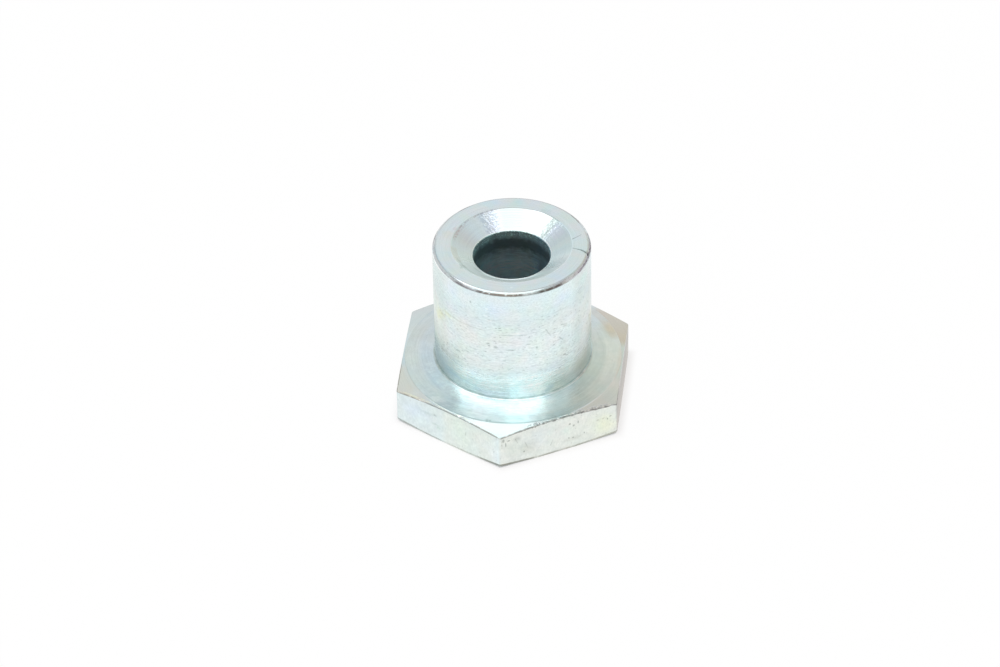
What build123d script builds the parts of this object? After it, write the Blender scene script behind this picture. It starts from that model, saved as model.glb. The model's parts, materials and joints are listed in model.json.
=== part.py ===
from build123d import *
import os
from math import cos, radians, tan

# A hexagon-flanged bushing, turned in one piece from hexagonal steel bar: a plain round barrel
# stands on a hexagonal flange, a through bore runs down the middle, and a wide countersink opens
# its top. The origin is the centre of the flange's underside, +Z runs up the bore, and two of the
# hexagon's corners lie on the Y axis. Lengths are in millimetres and angles in degrees.

NODE_NAME = "hex_bushing"

# Hexagonal bar
ACROSS_FLATS = 27.0
CORNER_RADIUS = 0.35

# Heights above the underside
OVERALL_LENGTH = 22.3
FLANGE_HEIGHT = 5.95         # where the flange's conical face would meet the barrel

# Barrel
BARREL_DIAMETER = 19.2
FOOT_FILLET = 0.25
RIM_BREAK = 0.35

# Flange: the face falls away from the barrel and steepens outside a circle just within the flats
FACE_SLOPE = 10.5
RING_INSET = 0.2
CORNER_SLOPE = 13.0
UNDERSIDE_OVERHANG = 0.2     # how far outside the flats the underside's bevel starts
UNDERSIDE_SLOPE = 10.7

# Bore
BORE_DIAMETER = 9.4
COUNTERSINK_DIAMETER = 14.6
COUNTERSINK_ANGLE = 118.0    # included angle, as a drill point leaves it
LOWER_MOUTH_CHAMFER = 0.4

# Spare length and radius of every shape that is only cut away
TRIM_MARGIN = 2.0


def drop(run: float, slope: float) -> float:
    """Height that a surface at the given slope loses over a horizontal run."""
    return run * tan(radians(slope))


def face_of_revolution(points: list[tuple[float, float]]) -> Face:
    """Closed half section from (radius, height) points, drawn on the XZ plane."""
    return make_face(Plane.XZ * Polyline(*points, close=True))


def corner_at(section: Face, radius: float, height: float) -> Vertex:
    """The section's corner that lies at the given radius and height."""
    return section.vertices().sort_by_distance((radius, 0, height))[0]


def turned_blank() -> Part:
    """The lathe's work on a round blank: underside bevel, conical flange face and barrel."""
    flat_radius = ACROSS_FLATS / 2
    blank_radius = flat_radius / cos(radians(30)) + TRIM_MARGIN
    barrel_radius = BARREL_DIAMETER / 2
    ring_radius = flat_radius - RING_INSET
    underside_radius = flat_radius + UNDERSIDE_OVERHANG
    ring_height = FLANGE_HEIGHT - drop(ring_radius - barrel_radius, FACE_SLOPE)

    section = face_of_revolution([
        (0, 0),
        (underside_radius, 0),
        (blank_radius, drop(blank_radius - underside_radius, UNDERSIDE_SLOPE)),
        (blank_radius, ring_height - drop(blank_radius - ring_radius, CORNER_SLOPE)),
        (ring_radius, ring_height),
        (barrel_radius, FLANGE_HEIGHT),
        (barrel_radius, OVERALL_LENGTH),
        (0, OVERALL_LENGTH),
    ])
    section = fillet(corner_at(section, barrel_radius, FLANGE_HEIGHT), FOOT_FILLET)
    section = chamfer(corner_at(section, barrel_radius, OVERALL_LENGTH), RIM_BREAK)
    return revolve(section, Axis.Z)


def hexagonal_bar() -> Part:
    """Bar stock with slightly rounded corners, two of them on the Y axis."""
    outline = RegularPolygon(ACROSS_FLATS / 2, 6, major_radius=False, rotation=90)
    outline = fillet(outline.vertices(), CORNER_RADIUS)
    return extrude(outline, OVERALL_LENGTH)


def bore_cutter() -> Part:
    """What the drill and the countersink remove, with the small chamfer at the lower mouth."""
    bore_radius = BORE_DIAMETER / 2
    lower_radius = bore_radius + LOWER_MOUTH_CHAMFER
    half_angle = COUNTERSINK_ANGLE / 2
    countersink_radius = COUNTERSINK_DIAMETER / 2
    countersink_depth = (countersink_radius - bore_radius) / tan(radians(half_angle))
    upper_radius = countersink_radius + drop(TRIM_MARGIN, half_angle)

    return revolve(face_of_revolution([
        (0, -TRIM_MARGIN),
        (lower_radius + TRIM_MARGIN, -TRIM_MARGIN),
        (bore_radius, LOWER_MOUTH_CHAMFER),
        (bore_radius, OVERALL_LENGTH - countersink_depth),
        (upper_radius, OVERALL_LENGTH + TRIM_MARGIN),
        (0, OVERALL_LENGTH + TRIM_MARGIN),
    ]), Axis.Z)


def hex_bushing() -> Part:
    """The finished bushing: the turned blank kept within the bar, less the bore."""
    return (turned_blank() & hexagonal_bar()) - bore_cutter()


os.makedirs("parts", exist_ok=True)
bushing = hex_bushing()
bushing.label = NODE_NAME
export_step(bushing, f"parts/{NODE_NAME}.step")
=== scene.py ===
"""Looks of a hex flange bushing: zinc-plated turned steel on a plain pale floor under soft light.

The bushing is one turned piece. Its visible mesh is a grid of rings and spokes: every ring follows
the lathe's section at one place, and every spoke is that section at one angle round the bore, cut
off at the hexagon. Lengths are in metres unless a name ends in _mm, and angles are in radians
unless a name ends in _deg.
"""
from __future__ import annotations

import json
import logging
from dataclasses import dataclass
from enum import Enum
from functools import partial, reduce
from math import cos, pi, radians, sin, tan
from operator import mul
from typing import Callable, List, Mapping, Optional, Sequence, Tuple, Union

import bpy
import numpy as np
from mathutils import Matrix, Vector


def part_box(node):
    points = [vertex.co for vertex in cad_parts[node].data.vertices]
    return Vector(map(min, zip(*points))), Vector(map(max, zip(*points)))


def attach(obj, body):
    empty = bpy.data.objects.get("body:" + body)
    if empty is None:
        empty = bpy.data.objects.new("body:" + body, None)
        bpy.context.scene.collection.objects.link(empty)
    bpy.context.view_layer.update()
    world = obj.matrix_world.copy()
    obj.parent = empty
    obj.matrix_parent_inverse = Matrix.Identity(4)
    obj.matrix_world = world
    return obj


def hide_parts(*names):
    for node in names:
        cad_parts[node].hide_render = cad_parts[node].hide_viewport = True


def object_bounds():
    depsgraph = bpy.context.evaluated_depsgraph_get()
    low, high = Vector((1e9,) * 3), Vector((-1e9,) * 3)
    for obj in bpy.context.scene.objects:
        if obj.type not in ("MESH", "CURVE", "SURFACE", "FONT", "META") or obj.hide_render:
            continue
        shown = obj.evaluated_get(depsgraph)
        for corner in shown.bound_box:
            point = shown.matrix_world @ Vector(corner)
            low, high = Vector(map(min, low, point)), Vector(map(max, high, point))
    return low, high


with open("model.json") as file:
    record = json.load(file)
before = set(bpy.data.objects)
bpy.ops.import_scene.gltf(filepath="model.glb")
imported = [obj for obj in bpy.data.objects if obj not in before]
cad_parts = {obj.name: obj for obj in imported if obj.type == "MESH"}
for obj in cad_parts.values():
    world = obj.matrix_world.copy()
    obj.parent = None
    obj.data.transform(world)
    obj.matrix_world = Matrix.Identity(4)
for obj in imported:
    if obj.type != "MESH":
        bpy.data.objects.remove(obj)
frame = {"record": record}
CAD_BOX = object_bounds()

LOG = logging.getLogger("bushing")
MM = 0.001
WHITE = (1.0, 1.0, 1.0)
NODE = "hex_bushing"

Colour = Tuple[float, float, float]
Feed = Union["Term", float, Sequence[float]]
Spread = Union[float, np.ndarray]
Point = Tuple[float, float, float]


# ---------------------------------------------------------------------------------------------
# Shader maths
# ---------------------------------------------------------------------------------------------

class Term:
    """A socket used in Python expressions: each operator adds the Math node it stands for."""

    def __init__(self, graph: "Graph", socket: bpy.types.NodeSocket) -> None:
        """Wraps one output socket of the graph."""
        self.graph = graph
        self.socket = socket

    def _math(self, operation: str, *others: Feed) -> "Term":
        """Adds a Math node whose first value is this term."""
        return self.graph.math(operation, self, *others)

    def __add__(self, other: Feed) -> "Term":
        """self + other."""
        return self._math("ADD", other)

    __radd__ = __add__

    def __sub__(self, other: Feed) -> "Term":
        """self - other."""
        return self._math("SUBTRACT", other)

    def __rsub__(self, other: Feed) -> "Term":
        """other - self."""
        return self.graph.math("SUBTRACT", other, self)

    def __mul__(self, other: Feed) -> "Term":
        """self * other."""
        return self._math("MULTIPLY", other)

    __rmul__ = __mul__

    def __truediv__(self, other: Feed) -> "Term":
        """self / other."""
        return self._math("DIVIDE", other)

    def __pow__(self, other: Feed) -> "Term":
        """self to the power of other."""
        return self._math("POWER", other)

    def __abs__(self) -> "Term":
        """The distance from zero."""
        return self._math("ABSOLUTE")

    def least(self, other: Feed) -> "Term":
        """The smaller of the two."""
        return self._math("MINIMUM", other)

    def most(self, other: Feed) -> "Term":
        """The larger of the two."""
        return self._math("MAXIMUM", other)

    def rise(self, low: float, high: float) -> "Term":
        """0 below low, 1 above high, and a smooth step between them; falls if low is above high."""
        return self.graph.smooth_step(self, low, high)


class Graph:
    """A node tree that is written from the values back to the shader."""

    def __init__(self, tree: bpy.types.NodeTree) -> None:
        """Empties the tree and keeps it."""
        tree.nodes.clear()
        self.tree = tree

    def node(self, kind: str, settings: Optional[Mapping[str, object]] = None,
             feeds: Optional[Mapping[Union[str, int], Feed]] = None) -> bpy.types.Node:
        """Adds one node.

        Args:
            kind: The node's type, such as ShaderNodeMath.
            settings: Properties to set first.
            feeds: Values or links for its sockets, by name or number.

        Returns:
            The new node.
        """
        node = self.tree.nodes.new(kind)
        for name, value in (settings or {}).items():
            setattr(node, name, value)
        for name, value in (feeds or {}).items():
            self.feed(node.inputs[name], value)
        return node

    def feed(self, socket: bpy.types.NodeSocket, value: Feed) -> None:
        """Links a term to a socket, or sets the socket's own value.

        Args:
            socket: The input socket.
            value: A term, a number, or the numbers of a vector or a colour.
        """
        if isinstance(value, Term):
            self.tree.links.new(value.socket, socket)
        elif socket.type == "RGBA":
            socket.default_value = (*value, 1.0)
        else:
            socket.default_value = value

    def term(self, node: bpy.types.Node, output: Union[str, int] = 0) -> Term:
        """One output of a node as a term."""
        return Term(self, node.outputs[output])

    def math(self, operation: str, *values: Feed) -> Term:
        """One Math node."""
        feeds = dict(enumerate(values))
        return self.term(self.node("ShaderNodeMath", {"operation": operation}, feeds))

    def smooth_step(self, value: Term, low: float, high: float) -> Term:
        """A smooth step from 0 at low to 1 at high, whichever of the two is larger.

        Args:
            value: What the step follows.
            low: Where the step is 0.
            high: Where it is 1.

        Returns:
            The step's height, from 0 to 1.
        """
        start, end, first, last = (low, high, 0.0, 1.0) if low < high else (high, low, 1.0, 0.0)
        return self.term(self.node(
            "ShaderNodeMapRange", {"interpolation_type": "SMOOTHSTEP"},
            {"Value": value, "From Min": start, "From Max": end, "To Min": first, "To Max": last}))

    def mix(self, factor: Feed, first: Feed, second: Feed, blend: str = "MIX") -> Term:
        """A Mix node on two colours."""
        settings = {"data_type": "RGBA", "blend_type": blend}
        return self.term(self.node("ShaderNodeMix", settings, {0: factor, 6: first, 7: second}), 2)

    def vector(self, operation: str, *values: Feed) -> Term:
        """One Vector Math node.

        Args:
            operation: What it does, by the node's own name for it.
            values: Its vectors in order.

        Returns:
            A number where the operation is a length or a dot product, and otherwise a vector.
        """
        node = self.node("ShaderNodeVectorMath", {"operation": operation}, dict(enumerate(values)))
        return self.term(node, "Value" if operation in ("LENGTH", "DOT_PRODUCT") else "Vector")

    def tint(self, colour: Feed, amount: Feed) -> Term:
        """A colour or a vector times a number."""
        settings = {"operation": "SCALE"}
        return self.term(self.node("ShaderNodeVectorMath", settings, {0: colour, "Scale": amount}))

    def combine(self, x: Feed, y: Feed, z: Feed) -> Term:
        """A vector of three numbers."""
        return self.term(self.node("ShaderNodeCombineXYZ", None, {0: x, 1: y, 2: z}))

    def split(self, vector: Term) -> Tuple[Term, Term, Term]:
        """The three numbers of a vector."""
        node = self.node("ShaderNodeSeparateXYZ", None, {0: vector})
        return self.term(node, 0), self.term(node, 1), self.term(node, 2)

    def noise(self, place: Term, detail: float, roughness: float) -> Term:
        """Smooth noise from 0 to 1 at a place, with lumps about 1 across."""
        feeds = {"Vector": place, "Scale": 1.0, "Detail": detail, "Roughness": roughness}
        return self.term(self.node("ShaderNodeTexNoise", {"noise_dimensions": "3D"}, feeds))


# ---------------------------------------------------------------------------------------------
# The bushing's shape
# ---------------------------------------------------------------------------------------------

class Zone(Enum):
    """The bushing's surfaces, each with a finish of its own."""

    UNDERSIDE = "underside"
    FLAT = "spanner_flats"
    CORNER = "corner_bevels"
    FACE = "flange_face"
    BARREL = "barrel_wall"
    RIM = "barrel_rim"
    END = "end_face"
    COUNTERSINK = "countersink"
    BORE = "bore_wall"


@dataclass(frozen=True)
class Bend:
    """One corner of the turned section, with the straight stretch that follows it.

    A radius or a height is one number, or an array with one number for each spoke. The reach is how
    far the rounding runs along both sides of the corner, the turns are its steps, and the strips
    are how many the straight stretch is divided into.
    """

    radius: Spread
    height: Spread
    reach: float
    zone: Zone
    strips: int
    turns: int = 3


@dataclass(frozen=True)
class Dent:
    """A knock in an edge: a soft hollow round a point, pressed towards the axis and downwards."""

    angle_deg: float
    radius: float
    height: float
    size: float
    depth: float
    lean_deg: float = 45.0

    def press(self, points: np.ndarray) -> np.ndarray:
        """Moves the points that lie within the dent.

        Args:
            points: Places in metres, one a row.

        Returns:
            The places after the knock.
        """
        turn, lean = radians(self.angle_deg), radians(self.lean_deg)
        outward = np.array([cos(turn), sin(turn), 0.0])
        centre = outward * self.radius + np.array([0.0, 0.0, self.height])
        gap = np.linalg.norm(points - centre, axis=1) / self.size
        push = self.depth * np.clip(1 - gap ** 2, 0.0, None) ** 2
        return points - push[:, None] * (outward * cos(lean) + np.array([0.0, 0.0, sin(lean)]))


@dataclass
class BushingBody:
    """The turned bushing, meshed as rings and spokes round the bore.

    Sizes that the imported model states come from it, and the rest are the lathe's angles and the
    small roundings that plating leaves on every edge. The longest reach and the longest gap are
    shares of the side that a rounding or a supporting loop takes up, and the crowding draws the
    spokes towards the hexagon's corners.
    """

    flat_radius: float
    overall_length: float
    bore_radius: float
    barrel_radius: float
    foot_height: float = 5.95 * MM
    foot_reach: float = 0.2 * MM
    rim_break: float = 0.35 * MM
    rim_reach: float = 0.1 * MM
    face_slope_deg: float = 10.5
    ring_inset: float = 0.2 * MM
    ring_groove: float = 0.03 * MM
    corner_slope_deg: float = 13.0
    corner_radius: float = 0.35 * MM
    underside_overhang: float = 0.2 * MM
    underside_slope_deg: float = 10.7
    countersink_radius: float = 7.3 * MM
    countersink_angle_deg: float = 118.0
    mouth_chamfer: float = 0.4 * MM
    edge_reach: float = 0.07 * MM
    support_gap: float = 0.05 * MM
    longest_reach: float = 0.45
    longest_gap: float = 0.3
    spokes: int = 780
    spoke_crowding: float = 0.55
    normal_weight: int = 80

    @classmethod
    def from_frame(cls) -> "BushingBody":
        """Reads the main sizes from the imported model.

        Returns:
            The bushing, with its other sizes as they are by default.
        """
        low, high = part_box(NODE)
        mounts = {mount["name"]: mount for mount in frame["record"]["mounts"]}
        return cls(flat_radius=high.x, overall_length=high.z - low.z,
                   bore_radius=mounts["bore"]["dims"]["r_mm"] * MM,
                   barrel_radius=mounts["barrel"]["dims"]["r_mm"] * MM)

    @property
    def ring_radius(self) -> float:
        """Radius of the circle where the face steepens towards the corners."""
        return self.flat_radius - self.ring_inset

    @property
    def countersink_depth(self) -> float:
        """How far the countersink goes down to the bore."""
        half = radians(self.countersink_angle_deg / 2)
        return (self.countersink_radius - self.bore_radius) / tan(half)

    @property
    def ring_low(self) -> float:
        """Height of the corner bevels where they start at the ring."""
        return self.face_height(self.ring_radius) - self.ring_groove

    def corner_height(self, radius: Spread) -> Spread:
        """Height of the corner bevels at a radius."""
        return self.ring_low - (radius - self.ring_radius) * tan(radians(self.corner_slope_deg))

    def face_height(self, radius: float) -> float:
        """Height of the flange's conical face at a radius."""
        run = radius - self.barrel_radius
        return self.foot_height - run * tan(radians(self.face_slope_deg))

    def spoke_angles(self) -> np.ndarray:
        """Angles of the spokes, crowded towards the six corners, one of which is on +Y."""
        even = np.arange(self.spokes) * 2 * pi / self.spokes
        return even + self.spoke_crowding / 6 * np.sin(6 * even)

    def hexagon_radius(self, angles: np.ndarray) -> np.ndarray:
        """Distance from the axis to the hexagon's rounded outline.

        Args:
            angles: Directions round the axis.

        Returns:
            One distance for each direction.
        """
        sector = pi / 3
        from_corner = (angles - pi / 2 + sector / 2) % sector - sector / 2
        straight = self.flat_radius / np.cos(sector / 2 - np.abs(from_corner))
        centre = (self.flat_radius - self.corner_radius) / cos(sector / 2)
        across = np.clip(centre * np.sin(from_corner) / self.corner_radius, -1.0, 1.0)
        rounded = centre * np.cos(from_corner) + self.corner_radius * np.sqrt(1 - across ** 2)
        tangent = np.arctan2(self.corner_radius * sin(sector / 2),
                             centre + self.corner_radius * cos(sector / 2))
        return np.where(np.abs(from_corner) < tangent, rounded, straight)

    def section(self, hexagon: np.ndarray) -> List[Bend]:
        """The closed section, from the lower mouth out along the underside and back in on top.

        Args:
            hexagon: The hexagon's outline, as one distance for each spoke.

        Returns:
            The section's corners in order.
        """
        edge, end = self.edge_reach, self.overall_length
        bore, barrel = self.bore_radius, self.barrel_radius
        sharp = 0.1 * edge
        overhang = self.flat_radius + self.underside_overhang
        underside_slope = tan(radians(self.underside_slope_deg))
        bevel_start = np.minimum(overhang, hexagon - 4 * edge)
        flat_foot = np.maximum(0.0, hexagon - overhang) * underside_slope
        ring_inner = self.ring_radius - self.ring_groove
        return [
            Bend(bore + self.mouth_chamfer, 0.0, edge, Zone.UNDERSIDE, strips=4),
            Bend(bevel_start, 0.0, 2 * edge, Zone.UNDERSIDE, strips=3),
            Bend(hexagon, flat_foot, edge, Zone.FLAT, strips=8),
            Bend(hexagon, self.corner_height(hexagon), edge, Zone.CORNER, strips=5),
            Bend(self.ring_radius, self.ring_low, sharp, Zone.FACE, strips=0, turns=1),
            Bend(ring_inner, self.face_height(ring_inner), sharp, Zone.FACE, strips=9, turns=1),
            Bend(barrel, self.foot_height, self.foot_reach, Zone.BARREL, strips=12, turns=6),
            Bend(barrel, end - self.rim_break, self.rim_reach, Zone.RIM, strips=1, turns=4),
            Bend(barrel - self.rim_break, end, self.rim_reach, Zone.END, strips=5, turns=4),
            Bend(self.countersink_radius, end, edge, Zone.COUNTERSINK, strips=7),
            Bend(bore, end - self.countersink_depth, edge, Zone.BORE, strips=8),
            Bend(bore, self.mouth_chamfer, edge, Zone.BORE, strips=1),
        ]

    def rings(self, hexagon: np.ndarray) -> Tuple[np.ndarray, List[Zone]]:
        """Turns the section into rings: several for each rounding and each straight stretch.

        Args:
            hexagon: The hexagon's outline, as one distance for each spoke.

        Returns:
            Radius and height of every ring at every spoke, and the zone of the strip after it.
        """
        bends = self.section(hexagon)
        corners = [np.stack([np.broadcast_to(value, hexagon.shape).astype(float)
                             for value in (bend.radius, bend.height)]) for bend in bends]
        starts, ends = [], []
        for index, bend in enumerate(bends):
            here = corners[index]
            for other, found in ((corners[index - 1], starts),
                                 (corners[(index + 1) % len(bends)], ends)):
                way = other - here
                length = np.linalg.norm(way, axis=0)
                found.append(here + way / length * np.minimum(bend.reach,
                                                              self.longest_reach * length))
        rings: List[np.ndarray] = []
        zones: List[Zone] = []
        for index, bend in enumerate(bends):
            start, here, stop = starts[index], corners[index], ends[index]
            for share in np.linspace(0.0, 1.0, bend.turns + 1):
                rings.append(start * (1 - share) ** 2 + here * 2 * share * (1 - share)
                             + stop * share ** 2)
                zones.append(bend.zone)
            if not bend.strips:
                continue
            way = starts[(index + 1) % len(bends)] - stop
            gap = np.minimum(self.support_gap / np.linalg.norm(way, axis=0), self.longest_gap)
            for share in np.linspace(0.0, 1.0, bend.strips + 1):
                rings.append(stop + way * (gap + share * (1 - 2 * gap)))
                zones.append(bend.zone)
        return np.stack(rings), zones

    def build(self, dents: Sequence[Dent],
              finishes: Mapping[Zone, "ZincPlate"]) -> bpy.types.Object:
        """Makes the mesh, knocks the dents into it and gives each zone its finish.

        Args:
            dents: The knocks.
            finishes: One finish for each zone.

        Returns:
            The bushing's object, at the origin of the row's frame.
        """
        angles = self.spoke_angles()
        rings, zones = self.rings(self.hexagon_radius(angles))
        count, spokes = len(rings), self.spokes
        points = np.stack([rings[:, 0] * np.cos(angles), rings[:, 0] * np.sin(angles),
                           rings[:, 1]], axis=2).reshape(-1, 3)
        for dent in dents:
            points = dent.press(points)
        here = np.arange(spokes)
        there = (here + 1) % spokes
        faces = np.concatenate([
            np.stack([k * spokes + here, k * spokes + there,
                      (k + 1) % count * spokes + there, (k + 1) % count * spokes + here], axis=1)
            for k in range(count)])
        mesh = bpy.data.meshes.new("plated_bushing")
        mesh.from_pydata(points.tolist(), [], faces.tolist())
        slots = {zone: index for index, zone in enumerate(Zone)}
        for zone in Zone:
            mesh.materials.append(finishes[zone].material(self))
        owners = np.repeat([slots[zone] for zone in zones], spokes)
        mesh.polygons.foreach_set("material_index", owners.astype(np.int32))
        mesh.polygons.foreach_set("use_smooth", np.ones(len(faces), dtype=bool))
        mesh.update()
        body = bpy.data.objects.new("plated_bushing", mesh)
        bpy.context.scene.collection.objects.link(body)
        weighted = body.modifiers.new("even_shading", "WEIGHTED_NORMAL")
        weighted.weight = self.normal_weight
        LOG.info("%s: %d rings, %d faces", body.name, count, len(faces))
        return body


# ---------------------------------------------------------------------------------------------
# Marks on the plating
# ---------------------------------------------------------------------------------------------

class Measure(Enum):
    """A distance that a band follows, in millimetres."""

    HEIGHT = "height above the underside"
    RADIUS = "distance from the axis"
    BELOW_EDGE = "how far below the flange's upper edge"
    ABOVE_FOOT = "how far above the flange's lower edge"
    INSIDE_FLATS = "how far inside the hexagon's outline"


def hexagon_reach(x: Term, y: Term) -> Term:
    """How far out a point lies across the flats of the hexagon, whichever flat is nearest.

    Args:
        x: The point's place across two of the flats.
        y: Its place along the line through two of the corners.

    Returns:
        The distance from the axis, which is the same all along the hexagon's outline.
    """
    half, lean = x * cos(pi / 3), y * sin(pi / 3)
    return abs(x).most(abs(half + lean)).most(abs(half - lean))


class Place:
    """Where a point of the surface is, in millimetres in the part's own frame."""

    SEED_STEP = (1.0, 1.7, 2.3)

    def __init__(self, graph: Graph, body: BushingBody) -> None:
        """Adds the coordinates that every finish is written in.

        Args:
            graph: The material's nodes.
            body: The bushing whose sizes the measures follow.
        """
        self.graph = graph
        self.body = body
        self.point = graph.tint(graph.term(graph.node("ShaderNodeTexCoord"), "Object"), 1 / MM)
        self.x, self.y, self.z = graph.split(self.point)
        self.radius = (self.x * self.x + self.y * self.y) ** 0.5

    def measure(self, kind: Measure) -> Term:
        """One of the distances that bands follow.

        Args:
            kind: Which distance.

        Returns:
            The distance in millimetres.
        """
        body = self.body
        if kind is Measure.HEIGHT:
            return self.z
        if kind is Measure.RADIUS:
            return self.radius
        if kind is Measure.INSIDE_FLATS:
            return body.flat_radius / MM - hexagon_reach(self.x, self.y)
        if kind is Measure.ABOVE_FOOT:
            overhang = (body.flat_radius + body.underside_overhang) / MM
            slope = tan(radians(body.underside_slope_deg))
            return self.z - (self.radius - overhang).most(0.0) * slope
        slope = tan(radians(body.corner_slope_deg))
        return body.corner_height(0.0) / MM - self.radius * slope - self.z

    def noise(self, grain_mm: float, stretch: Tuple[float, float, float] = (1.0, 1.0, 1.0),
              detail: float = 2.0, roughness: float = 0.5, seed: float = 0.0) -> Term:
        """Noise from 0 to 1.

        Args:
            grain_mm: Size of its lumps.
            stretch: How many times longer the lumps are along each axis.
            detail: Octaves of finer noise.
            roughness: How strong the finer octaves are.
            seed: Another number gives another pattern.

        Returns:
            The noise at this place.
        """
        scale = tuple(1 / (grain_mm * long) for long in stretch)
        place = self.graph.vector("MULTIPLY", self.point, scale)
        moved = self.graph.vector("ADD", place, tuple(seed * step for step in self.SEED_STEP))
        return self.graph.noise(moved, detail, roughness)

    def wander(self, amount: float, grain_mm: float, detail: float = 3.0,
               seed: float = 0.0) -> Term:
        """Noise about nought, by which an outline strays from its true line.

        Args:
            amount: How far it strays either way.
            grain_mm: Size of the noise's lumps.
            detail: Octaves of finer noise.
            seed: Another number gives another pattern.

        Returns:
            The noise, from minus the amount to the amount.
        """
        return (self.noise(grain_mm, detail=detail, seed=seed) - 0.5) * 2 * amount

    def lay_noise(self, along: Term, width_mm: float, length_mm: float, detail: float = 2.0,
                  roughness: float = 0.5, seed: float = 0.0) -> Term:
        """Noise drawn out round the axis, as a lathe tool leaves it.

        Args:
            along: The distance across the grooves, a radius or a height.
            width_mm: Width of one groove.
            length_mm: How far one groove runs before it changes.
            detail: Octaves of finer noise.
            roughness: How strong the finer octaves are.
            seed: Another number gives another pattern.

        Returns:
            The noise at this place, from 0 to 1.
        """
        place = self.graph.combine(self.x * (1 / length_mm) + seed, self.y * (1 / length_mm),
                                   along * (1 / width_mm))
        return self.graph.noise(place, detail, roughness)


class Shape:
    """A soft-edged region of the surface."""

    def mask(self, place: Place) -> Term:
        """1 inside the region and 0 outside it.

        Args:
            place: The point that is asked about.

        Returns:
            How far the point is inside the region, from 0 to 1.
        """
        raise NotImplementedError


@dataclass(frozen=True)
class Spot(Shape):
    """An oval region about a point of the surface, solid up to its core.

    The wander's grain is a share of the oval's smaller half.
    """

    GRAIN = 0.6

    middle: Point
    wide_mm: float
    high_mm: float
    core: float
    wander: float = 0.5

    def mask(self, place: Place) -> Term:
        """1 near the point, with an uneven outline where wander isn't nought.

        Args:
            place: The point that is asked about.

        Returns:
            The region's strength there.
        """
        graph = place.graph
        offset = graph.vector("SUBTRACT", place.point, self.middle)
        scale = (1 / self.wide_mm, 1 / self.wide_mm, 1 / self.high_mm)
        gap = graph.vector("LENGTH", graph.vector("MULTIPLY", offset, scale))
        if self.wander:
            grain = self.GRAIN * min(self.wide_mm, self.high_mm)
            gap = gap + place.wander(self.wander, grain, detail=2.0, seed=self.middle[0])
        return gap.rise(1.0, self.core)


@dataclass(frozen=True)
class AnyOf(Shape):
    """All of several regions together."""

    parts: Tuple[Shape, ...]

    def mask(self, place: Place) -> Term:
        """1 in any of the regions."""
        return reduce(Term.most, (part.mask(place) for part in self.parts))


@dataclass(frozen=True)
class Band(Shape):
    """A region a set way along one of the measures."""

    GRAIN_MM = 0.5

    measure: Measure
    centre_mm: float
    half_mm: float
    soft_mm: float
    wander_mm: float = 0.0

    def mask(self, place: Place) -> Term:
        """1 along the middle of the band.

        Args:
            place: The point that is asked about.

        Returns:
            The region's strength there.
        """
        value = place.measure(self.measure)
        if self.wander_mm:
            value = value + place.wander(self.wander_mm, self.GRAIN_MM)
        return abs(value - self.centre_mm).rise(self.half_mm + self.soft_mm, self.half_mm)


@dataclass(frozen=True)
class Sector(Shape):
    """The part of the surface that faces one way round the axis."""

    angle_deg: float
    half_deg: float
    soft_deg: float

    def mask(self, place: Place) -> Term:
        """1 within the sector.

        Args:
            place: The point that is asked about.

        Returns:
            The region's strength there.
        """
        turn = radians(self.angle_deg)
        facing = (place.x * cos(turn) + place.y * sin(turn)) / place.radius
        return facing.rise(cos(radians(min(self.half_deg + self.soft_deg, 180.0))),
                           cos(radians(self.half_deg)))


@dataclass(frozen=True)
class Broken(Shape):
    """Scattered lumps, which break up whatever they are combined with.

    The share is roughly how much of the surface they cover. The noise that they are cut from keeps
    near its middle, so the cut moves by only a part, given as the spread, of what the share says.
    """

    DETAIL = 3.0
    ROUGHNESS = 0.55
    SPREAD = 0.33

    grain_mm: float
    share: float
    soft: float = 0.08
    stretch: Tuple[float, float, float] = (1.0, 1.0, 1.0)
    seed: float = 0.0

    def mask(self, place: Place) -> Term:
        """1 in the lumps.

        Args:
            place: The point that is asked about.

        Returns:
            The region's strength there.
        """
        noise = place.noise(self.grain_mm, self.stretch, self.DETAIL, self.ROUGHNESS, self.seed)
        middle = 0.5 + self.SPREAD * (0.5 - self.share)
        return noise.rise(middle - self.soft, middle + self.soft)


@dataclass(frozen=True)
class Stroke(Shape):
    """A scratch between two points, solid up to its core and fainter by the fade at its end."""

    GRAIN_MM = 0.7
    CORE = 0.3
    FADE = 0.5

    start: Point
    end: Point
    half_mm: float
    wander_mm: float = 0.05

    def mask(self, place: Place) -> Term:
        """1 along the scratch, which thins out towards its end.

        Args:
            place: The point that is asked about.

        Returns:
            The region's strength there.
        """
        graph = place.graph
        way = tuple(last - first for first, last in zip(self.start, self.end))
        length = sum(part * part for part in way) ** 0.5
        unit = tuple(part / length for part in way)
        offset = graph.vector("SUBTRACT", place.point, self.start)
        along = graph.vector("DOT_PRODUCT", offset, unit)
        run = along.most(0.0).least(length)
        away = graph.vector("LENGTH", graph.vector("SUBTRACT", offset, graph.tint(unit, run)))
        gap = abs(away + place.wander(self.wander_mm, self.GRAIN_MM))
        fading = 1 - self.FADE * along * (1 / length)
        return gap.rise(self.half_mm, self.CORE * self.half_mm) * fading


@dataclass(frozen=True)
class Mark:
    """What one kind of stain, wear, damage, or painted light and shade does to the plating where
    its shapes overlap.

    The tint multiplies the colour, the depth is in relief steps, the roughness is added, and the
    dullness takes away metallic shine.
    """

    tint: Colour
    shapes: Tuple[Shape, ...]
    depth: float = 0.0
    roughness: float = 0.0
    dullness: float = 0.0

    def mask(self, place: Place) -> Term:
        """1 where all of the mark's shapes overlap."""
        return reduce(mul, (shape.mask(place) for shape in self.shapes))


# ---------------------------------------------------------------------------------------------
# Finishes
# ---------------------------------------------------------------------------------------------

# The depths in a finish count in steps of this size
RELIEF_STEP = 0.01 * MM


class Lay(Enum):
    """What the lathe's grooves follow one another along."""

    RADIUS = "radius"
    HEIGHT = "height"
    NONE = "none"


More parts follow.
